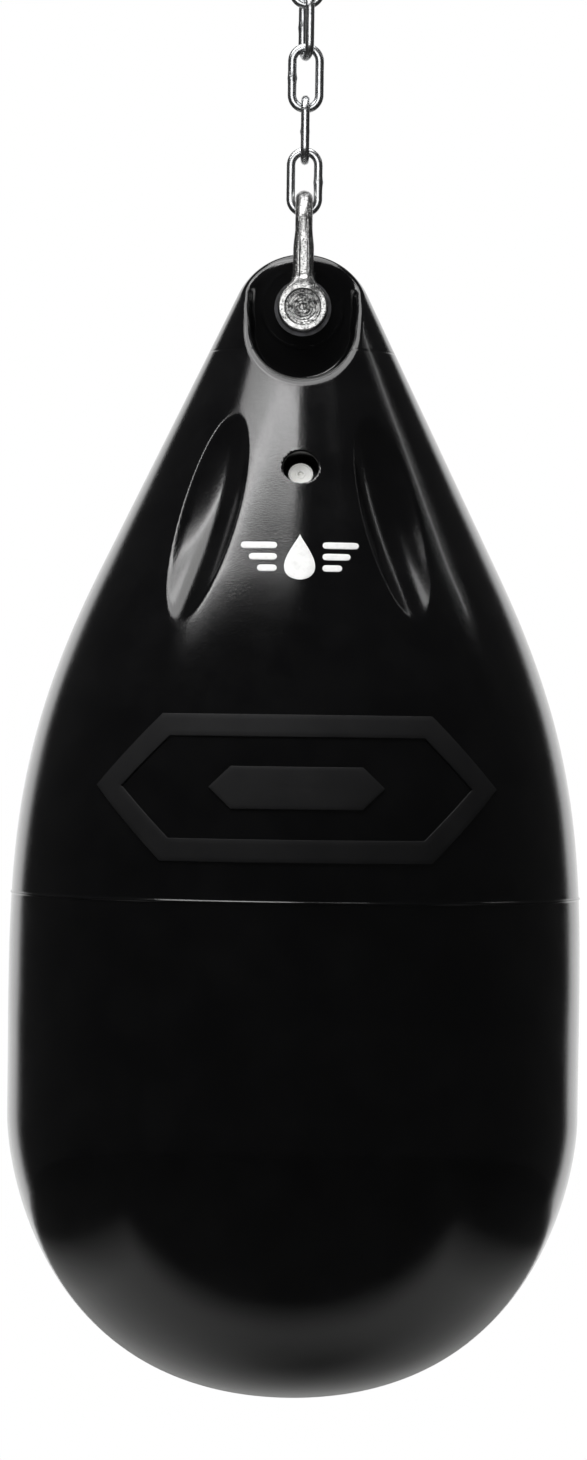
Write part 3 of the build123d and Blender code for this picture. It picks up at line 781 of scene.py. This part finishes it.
def drop_rows():
    """A water drop: pointed at the top and round below."""
    turns = np.linspace(0.02, pi - 0.02, 40)
    widths = 1.3 * DROP_HALF_WIDTH * np.sin(turns) * np.sin(turns / 2) ** 1.5
    return list(zip(-DROP_HALF_HEIGHT * np.cos(turns), widths))


def bar_rows(half_length):
    """A bar with round ends."""
    turns = np.linspace(0.05, pi - 0.05, 30)
    straight = half_length - BAR_HALF_HEIGHT
    along = -BAR_HALF_HEIGHT * np.cos(turns) + straight * np.clip(-3 * np.cos(turns), -1, 1)
    away = np.maximum(np.abs(along) - straight, 0)
    return list(zip(along, np.maximum(BAR_HALF_HEIGHT**2 - away**2, 1e-3) ** 0.5))


def pictogram():
    """A water drop between three pairs of bars, printed in white."""
    middle = np.interp(PRINT_DEPTH, OUTLINE[:, 1], REACH)
    ink_patch("print_drop", drop_rows(), 0, middle, sideways=False)
    for side in (-1, 1):
        for number, half_length in enumerate(BAR_HALF_LENGTHS):
            name = f"print_bar_{'left' if side < 0 else 'right'}_{number + 1}"
            across = side * (BAR_START + half_length)
            ink_patch(name, bar_rows(half_length), across, middle + (number - 1) * BAR_PITCH, sideways=True)


emblem()
pictogram()


# ---------------------------------------------------------------- chain
LINK_RINGS = 120
LINK_SIDES = 24
WELD_SWELL = 0.6
WELD_REACH = 2.0
RIDGE_HEIGHT = 0.12
RIDGE_PLACE = 3.2
RIDGE_WIDTH = 0.8


def link_track(count, straight, arc):
    """Places and outward directions in the link's own plane, from the weld round the link."""
    total = 4 * straight + 2 * pi * arc
    track = []
    for k in range(count):
        s = total * k / count
        if s < straight:
            track.append((arc, s, 1, 0))
        elif s < straight + pi * arc:
            angle = (s - straight) / arc
            track.append((arc * cos(angle), straight + arc * sin(angle), cos(angle), sin(angle)))
        elif s < 3 * straight + pi * arc:
            track.append((-arc, 2 * straight + pi * arc - s, -1, 0))
        elif s < 3 * straight + 2 * pi * arc:
            angle = (s - 3 * straight) / arc
            track.append((arc * cos(angle), -straight + arc * sin(angle), cos(angle), sin(angle)))
        else:
            track.append((arc, s - total, 1, 0))
    return track, total


def chain_link(number):
    """A welded link: round wire with a slightly swollen, ridged weld in one side."""
    node = f"chain_link_{number}"
    middle = (low(node).z + high(node).z) / 2
    straight = (high(node).z - low(node).z) / 2 - WIRE_RADIUS - LINK_ARC_RADIUS
    track, total = link_track(LINK_RINGS, straight, LINK_ARC_RADIUS)
    turn = radians(LINK_TURN[number])
    sideways = np.array([cos(turn), sin(turn), 0])
    across = np.array([-sin(turn), cos(turn), 0])
    points = []
    for k, (out, up, normal_out, normal_up) in enumerate(track):
        from_weld = min(k, LINK_RINGS - k) * total / LINK_RINGS
        swell = WELD_SWELL * np.exp(-((from_weld / WELD_REACH) ** 2))
        ridge = RIDGE_HEIGHT * np.exp(-(((from_weld - RIDGE_PLACE) / RIDGE_WIDTH) ** 2))
        for side in range(LINK_SIDES):
            angle = 2 * pi * side / LINK_SIDES
            radius = WIRE_RADIUS + swell * (0.75 + 0.25 * cos(3 * angle + number)) + ridge
            flat = out + radius * cos(angle) * normal_out
            rise = up + radius * cos(angle) * normal_up
            points.append(flat * sideways + radius * sin(angle) * across + np.array([0, 0, middle + rise]))
    faces = [face[::-1] for face in ring_faces(LINK_RINGS, LINK_SIDES, closed_rings=True)]
    new_piece(f"welded_link_{number}", points, faces, body=f"link_{number}", slot="chain_steel",
              material=materials["chain_steel"], replaced=(node,))


for number in LINK_TURN:
    chain_link(number)

# ---------------------------------------------------------------- shackle
CROWN_RISE = high("shackle_bow").z - BOW_BAR_RADIUS - BOW_LEG_Y - PIN_Z
EAR_FACE_Y = low("shackle_bow").y
LEG_FLATTENING = 16.0
EAR_BLEND = 8.0
EAR_EDGE = 1.8
PIN_CLEARANCE = 0.08
STRIP_HALF_WIDTH = 2.7
STRIP_DEPTH = 0.8
STRIP_LOW = 22.0
STRIP_HIGH = 63.0
FORGED_CELL = 0.7
THREAD_PITCH = 0.875
THREAD_CREST = 6.0
THREAD_ROOT = 5.45


def shackle_field(x, y, z):
    """A forged bow: flattened legs that flare into round ears, with a sunk strip down each face."""
    side = np.abs(y) - BOW_LEG_Y
    rise = z - PIN_Z
    crown = np.hypot(np.hypot(y, rise - CROWN_RISE) - BOW_LEG_Y, x) - BOW_BAR_RADIUS
    flatness = smooth_step(CROWN_RISE, CROWN_RISE - LEG_FLATTENING, rise)
    half_width = BOW_BAR_RADIUS + (LEG_HALF_WIDTH - BOW_BAR_RADIUS) * flatness
    corner = BOW_BAR_RADIUS - 0.05 - 1.5 * flatness
    wide = np.abs(x) - (half_width - corner)
    thick = np.abs(side) - (BOW_BAR_RADIUS - corner)
    leg = np.hypot(np.maximum(wide, 0), np.maximum(thick, 0)) + np.minimum(np.maximum(wide, thick), 0)
    bow = np.where(rise > CROWN_RISE, crown, np.maximum(leg - corner, -rise))
    reach = np.hypot(x, rise)
    ear = round_max(reach - EAR_RADIUS, np.abs(side) - BOW_BAR_RADIUS, EAR_EDGE)
    solid = smooth_min(bow, ear, EAR_BLEND)
    strip = smooth_step(STRIP_HALF_WIDTH + 0.5, STRIP_HALF_WIDTH - 0.5, np.abs(x))
    strip = strip * smooth_step(STRIP_LOW - 2, STRIP_LOW + 2, rise)
    strip = strip * smooth_step(STRIP_HIGH + 2, STRIP_HIGH - 2, rise) * (np.abs(y) > BOW_LEG_Y - 2)
    solid = solid + STRIP_DEPTH * strip
    counterbore = np.maximum(reach - HEAD_RECESS_RADIUS, y - EAR_FACE_Y - HEAD_RECESS_DEPTH)
    solid = round_max(solid, -counterbore, radius=0.5)
    return np.maximum(solid, PIN_RADIUS + PIN_CLEARANCE - reach)


def shackle_pin():
    """The pin, with turned rings and a centre mark in its head, and a chamfered threaded end."""
    length = high("shackle_pin").y - low("shackle_pin").y
    shank_end = -EAR_FACE_Y - low("shackle_pin").y
    head = [(0.4, 2.6), (2.2, 2.5), (2.9, 0.5), (3.3, 0.0), (4.3, 0.0), (4.8, 0.7), (5.7, 0.7),
            (6.2, 0.0), (6.9, 0.0), (7.3, 0.8), (9.5, 0.9), (11.4, 0.8), (11.9, 0.1), (12.5, 0.0)]
    shank = [(PIN_HEAD_RADIUS, 0.4), (PIN_HEAD_RADIUS, 5.5), (PIN_RADIUS, 5.5), (PIN_RADIUS, shank_end)]
    thread_start = shank_end + 0.3
    threads = []
    for k in range(int((length - 1.5 - thread_start) / THREAD_PITCH) * 2):
        threads.append((THREAD_CREST if k % 2 else THREAD_ROOT, thread_start + THREAD_PITCH / 2 * k))
    profile = head + shank + threads + [(5.6, length - 1.2), (4.6, length), (0.4, length)]
    lathe_piece("turned_pin", profile, (0, low("shackle_pin").y, PIN_Z), (0, 1, 0), body="shackle",
                slot="turned_steel", material=materials["turned_steel"], replaced=("shackle_pin",))


FIELD_MARGIN = Vector((4, 4, 4))
field_piece("forged_bow", shackle_field, low("shackle_bow") - FIELD_MARGIN,
            high("shackle_bow") + FIELD_MARGIN, FORGED_CELL, body="shackle", slot="forged_steel",
            material=materials["forged_steel"], replaced=("shackle_bow",))
shackle_pin()

# ---------------------------------------------------------------- swivel
EYE_OUTER_RADIUS = 16.0
EYE_BORE_RADIUS = 7.0
EYE_HALF_THICKNESS = 6.0
STEM_RADIUS = 5.0
SHOULDER_RADIUS = 8.0
SHOULDER_Z = -20.0
YOKE_BAR_RADIUS = 5.0
YOKE_HALF_SPAN = 17.0
YOKE_CORNER = 12.0
COLLAR_TOP_Z = -22.0
COLLAR_HEIGHT = 12.0
COLLAR_HALF_LENGTH = 22.0
COLLAR_HALF_WIDTH = 9.5
YOKE_BAR_Z = joint_place["link_5_swing"].z
STEM_BORE_RADIUS = 5.06
SWIVEL_CELL = 0.6


def eye_stem_field(x, y, z):
    """A forged eye that runs down through a neck into the round stem."""
    away = np.hypot(x, z)
    eye = round_max(away - EYE_OUTER_RADIUS, np.abs(y) - EYE_HALF_THICKNESS, radius=3.5)
    rho = np.hypot(x, y)
    shoulder = round_max(rho - SHOULDER_RADIUS, np.maximum(z + 8, SHOULDER_Z - z), radius=0.6)
    stem_end = low("swivel_eye_stem").z
    stem = round_max(rho - STEM_RADIUS, np.maximum(z + 12, stem_end - z), radius=0.8)
    solid = np.minimum(smooth_min(eye, shoulder, reach=4.0), stem)
    return round_max(solid, EYE_BORE_RADIUS - away, radius=1.2)


def yoke_field(x, y, z):
    """A forged loop of round bar that grows into a collar, bored for the stem."""
    collar_middle = COLLAR_TOP_Z - COLLAR_HEIGHT / 2
    half_height = (collar_middle - YOKE_BAR_Z) / 2 + YOKE_CORNER
    rise = z - (YOKE_BAR_Z + half_height)
    wide = np.abs(y) - (YOKE_HALF_SPAN - YOKE_CORNER)
    tall = np.abs(rise) - (half_height - YOKE_CORNER)
    box = np.hypot(np.maximum(wide, 0), np.maximum(tall, 0)) + np.minimum(np.maximum(wide, tall), 0)
    bar = np.hypot(box - YOKE_CORNER, x) - YOKE_BAR_RADIUS
    bar = np.maximum(bar, z - collar_middle)
    end = np.maximum(np.abs(y) - (COLLAR_HALF_LENGTH - COLLAR_HALF_WIDTH), 0)
    collar = round_max(np.hypot(x, end) - COLLAR_HALF_WIDTH,
                       np.abs(z - collar_middle) - COLLAR_HEIGHT / 2, radius=2.5)
    return np.maximum(smooth_min(bar, collar, reach=3.5), STEM_BORE_RADIUS - np.hypot(x, y))


field_piece("forged_eye", eye_stem_field, (-20, -20, low("swivel_eye_stem").z - 4), (20, 20, 20), SWIVEL_CELL,
            body="swivel_stem", slot="forged_steel", material=materials["forged_steel"],
            replaced=("swivel_eye_stem",))
field_piece("forged_yoke", yoke_field, (-14, -27, YOKE_BAR_Z - 9), (14, 27, COLLAR_TOP_Z + 4), SWIVEL_CELL,
            body="yoke", slot="forged_steel", material=materials["forged_steel"],
            replaced=("swivel_yoke",))

# ---------------------------------------------------------------- fill plug
PLUG_HEAD_RADIUS = 9.0
PLUG_HEAD_TOP = -10.8
PLUG_HEAD_BOTTOM = -13.8
PLUG_STEM_RADIUS = 5.94
PLUG_END = -30.8
PLUG_GRIPS = 24
PLUG_GRIP_DEPTH = 0.22


def plug_grip(angle, radius, along):
    """Shallow finger grips round the edge of the plug's head."""
    on_edge = radius > PLUG_HEAD_RADIUS - 0.3
    return -PLUG_GRIP_DEPTH * (0.5 + 0.5 * cos(PLUG_GRIPS * angle)) if on_edge else 0.0


def fill_plug():
    """A white plug with a grooved head, a raised rim and a small key hole in the middle."""
    top = PLUG_HEAD_TOP
    profile = [(0.4, PLUG_END), (4.6, PLUG_END), (5.6, PLUG_END + 0.8),
               (PLUG_STEM_RADIUS, PLUG_END + 1.6), (PLUG_STEM_RADIUS, PLUG_HEAD_BOTTOM),
               (8.5, PLUG_HEAD_BOTTOM), (PLUG_HEAD_RADIUS, PLUG_HEAD_BOTTOM + 0.5),
               (PLUG_HEAD_RADIUS, top - 0.7), (8.8, top - 0.3), (8.4, top), (7.6, top), (7.1, top - 0.7),
               (3.6, top - 0.8), (3.0, top - 0.4), (2.3, top - 0.4), (2.1, top - 0.7),
               (2.0, top - 2.6), (0.4, top - 2.8)]
    lathe_piece("fill_plug", profile, VALVE, VALVE_AXIS, sides=192, swell=plug_grip, body="plug",
                slot="plug_nylon", material=materials["plug_nylon"], replaced=("valve_plug",))


fill_plug()

# ---------------------------------------------------------------- camera
CAMERA_DISTANCE = 4.0
CAMERA_LEAN = radians(0.75)
VIEW_HALF_HEIGHT = 0.52925
VIEW_CENTRE = Vector((-0.00275, 0.0, -0.6357))
SENSOR = 36.0


def add_camera():
    """A long lens square to the front, leaning as much as the bag hangs off plumb in the view."""
    data = bpy.data.cameras.new("camera")
    data.sensor_fit = "VERTICAL"
    data.sensor_height = SENSOR
    data.lens = SENSOR * CAMERA_DISTANCE / (2 * VIEW_HALF_HEIGHT)
    data.clip_end = 100
    camera = bpy.data.objects.new("camera", data)
    camera.location = VIEW_CENTRE + Vector((0, -CAMERA_DISTANCE, 0))
    camera.rotation_mode = "QUATERNION"
    camera.rotation_quaternion = (Quaternion((1, 0, 0), radians(90))
                                  @ Quaternion((0, 0, 1), CAMERA_LEAN))
    bpy.context.scene.collection.objects.link(camera)
    bpy.context.scene.camera = camera


add_camera()

# ---------------------------------------------------------------- studio
FLOOR_Z = -1.466
FLOOR_RADIUS = 2.2
AIM = Vector((0, -0.1, -0.45))


def softbox(name, azimuth, elevation, distance, width, height, power, roll=0):
    """A rectangular area light. Azimuth is in degrees from the front, positive to the right."""
    turn, lift = radians(azimuth), radians(elevation)
    toward = Vector((sin(turn) * cos(lift), -cos(turn) * cos(lift), sin(lift)))
    data = bpy.data.lights.new(name, "AREA")
    data.shape = "RECTANGLE"
    data.size = width
    data.size_y = height
    data.energy = power
    light = bpy.data.objects.new(name, data)
    light.location = AIM + toward * distance
    facing = toward.to_track_quat("Z", "Y") @ Quaternion((0, 0, 1), radians(roll))
    light.rotation_euler = facing.to_euler()
    light.visible_camera = False
    bpy.context.scene.collection.objects.link(light)
    return light


def soften(light, slant, stops):
    """Makes a light's glow change from its lower edge (0) to its upper edge (1), along a slanting front.

    Each stop is a place and how much of the light's power shows there.
    """
    light.data.use_nodes = True
    tree = light.data.node_tree
    place = tree.nodes.new("ShaderNodeNewGeometry").outputs["Parametric"]
    parts = tree.nodes.new("ShaderNodeSeparateXYZ")
    tree.links.new(place, parts.inputs["Vector"])
    across = tree.nodes.new("ShaderNodeMath")
    across.operation = "SUBTRACT"
    across.inputs[0].default_value = 1.0
    tree.links.new(parts.outputs["X"], across.inputs[1])
    front = tree.nodes.new("ShaderNodeMath")
    front.operation = "MULTIPLY_ADD"
    tree.links.new(across.outputs["Value"], front.inputs[0])
    front.inputs[1].default_value = slant
    tree.links.new(parts.outputs["Y"], front.inputs[2])
    ramp = tree.nodes.new("ShaderNodeValToRGB")
    for _ in stops[2:]:
        ramp.color_ramp.elements.new(0.5)
    for element, (position, glow) in zip(ramp.color_ramp.elements, stops):
        element.position = position
        element.color = (glow, glow, glow, 1)
    tree.links.new(front.outputs["Value"], ramp.inputs["Fac"])
    tree.links.new(ramp.outputs["Color"], tree.nodes["Emission"].inputs["Strength"])


def shine_only_on(light, pieces):
    """Limits a light to some pieces, as a flag beside the lamp would."""
    group = bpy.data.collections.new(light.name + "_receivers")
    for piece in pieces:
        group.objects.link(piece)
    light.light_linking.receiver_collection = group


def add_world():
    """White to the camera. Other rays see a white screen behind, and a dim room at the sides."""
    world = bpy.data.worlds.new("studio")
    world.use_nodes = True
    bpy.context.scene.world = world
    tree = world.node_tree
    nodes, links = tree.nodes, tree.links
    background = nodes["Background"]
    background.inputs["Color"].default_value = (1, 1, 1, 1)
    place = nodes.new("ShaderNodeTexCoord")
    parts = nodes.new("ShaderNodeSeparateXYZ")
    links.new(place.outputs["Generated"], parts.inputs["Vector"])
    screen = nodes.new("ShaderNodeMapRange")
    screen.interpolation_type = "SMOOTHSTEP"
    for key, value in (("From Min", 0.80), ("From Max", 0.86), ("To Min", 0.03), ("To Max", 1.0)):
        screen.inputs[key].default_value = value
    links.new(parts.outputs["Y"], screen.inputs["Value"])
    path = nodes.new("ShaderNodeLightPath")
    choice = nodes.new("ShaderNodeMath")
    choice.operation = "MAXIMUM"
    links.new(screen.outputs["Result"], choice.inputs[0])
    links.new(path.outputs["Is Camera Ray"], choice.inputs[1])
    links.new(choice.outputs["Value"], background.inputs["Strength"])


def floor_material():
    """A pale matt floor that glossy things reflect only dimly: its front and sides are painted dark for glossy
    rays, a painted reflection of a dim room.
    """
    m = Nodes("floor")
    in_front = m.spread(m.position("Y"), -0.30, -0.15, 1.0, 0.0)
    aside = m.spread(m.math("ABSOLUTE", m.position("X")), 0.6, 0.95, 0.0, 1.0)
    dark = m.math("MAXIMUM", in_front, aside)
    # Painted reflection: the front and sides turn dark only where glossy rays see them.
    dimmed = m.math("MULTIPLY", m.add("ShaderNodeLightPath").outputs["Is Glossy Ray"], dark)
    m.colours(dimmed, (0.82, 0.82, 0.81), (0.05, 0.05, 0.05))
    m.bumps((m.noise(12, detail=4), 0.5))
    m.set(Roughness=0.9, Specular_IOR_Level=0.2)
    return m.material


def add_floor():
    """A round floor well below the bag, which the camera's own view leaves out."""
    bm = bmesh.new()
    bmesh.ops.create_circle(bm, cap_ends=True, segments=128, radius=FLOOR_RADIUS)
    mesh = bpy.data.meshes.new("floor")
    bm.to_mesh(mesh)
    bm.free()
    mesh.materials.append(floor_material())
    floor = bpy.data.objects.new("floor", mesh)
    floor.location = (0, 0, FLOOR_Z)
    bpy.context.scene.collection.objects.link(floor)


def made_of(words):
    """The pieces whose material has one of the words in its name."""
    meshes = [piece for piece in bpy.data.objects if piece.type == "MESH"]
    return [piece for piece in meshes if any(word in piece.data.materials[0].name for word in words)]


def add_lights():
    """A slanting key at the upper left, a thin edge light, fills for the metal and the white, and a top."""
    key = softbox("key", azimuth=-45, elevation=56, distance=1.7, width=1.45, height=1.07, power=62, roll=14)
    soften(key, 0.29, [(0.14, 0.0), (0.28, 0.015), (0.365, 0.035), (0.42, 0.075), (0.462, 0.36),
                       (0.496, 1.0), (0.53, 1.0), (0.56, 0.30), (1.0, 0.24)])
    softbox("edge_right", azimuth=108.8, elevation=34, distance=2.2, width=0.045, height=0.7, power=0.45)
    for name, words, power in (("metal_fill", ("steel",), 23), ("white_fill", ("nylon", "ink"), 40)):
        fill = softbox(name, azimuth=-8, elevation=8, distance=2.6, width=2.2, height=1.3, power=power)
        shine_only_on(fill, made_of(words))
    softbox("overhead", azimuth=0, elevation=89, distance=1.8, width=1.6, height=1.6, power=26)


add_lights()
add_world()
add_floor()
bpy.context.scene.view_settings.view_transform = "Standard"
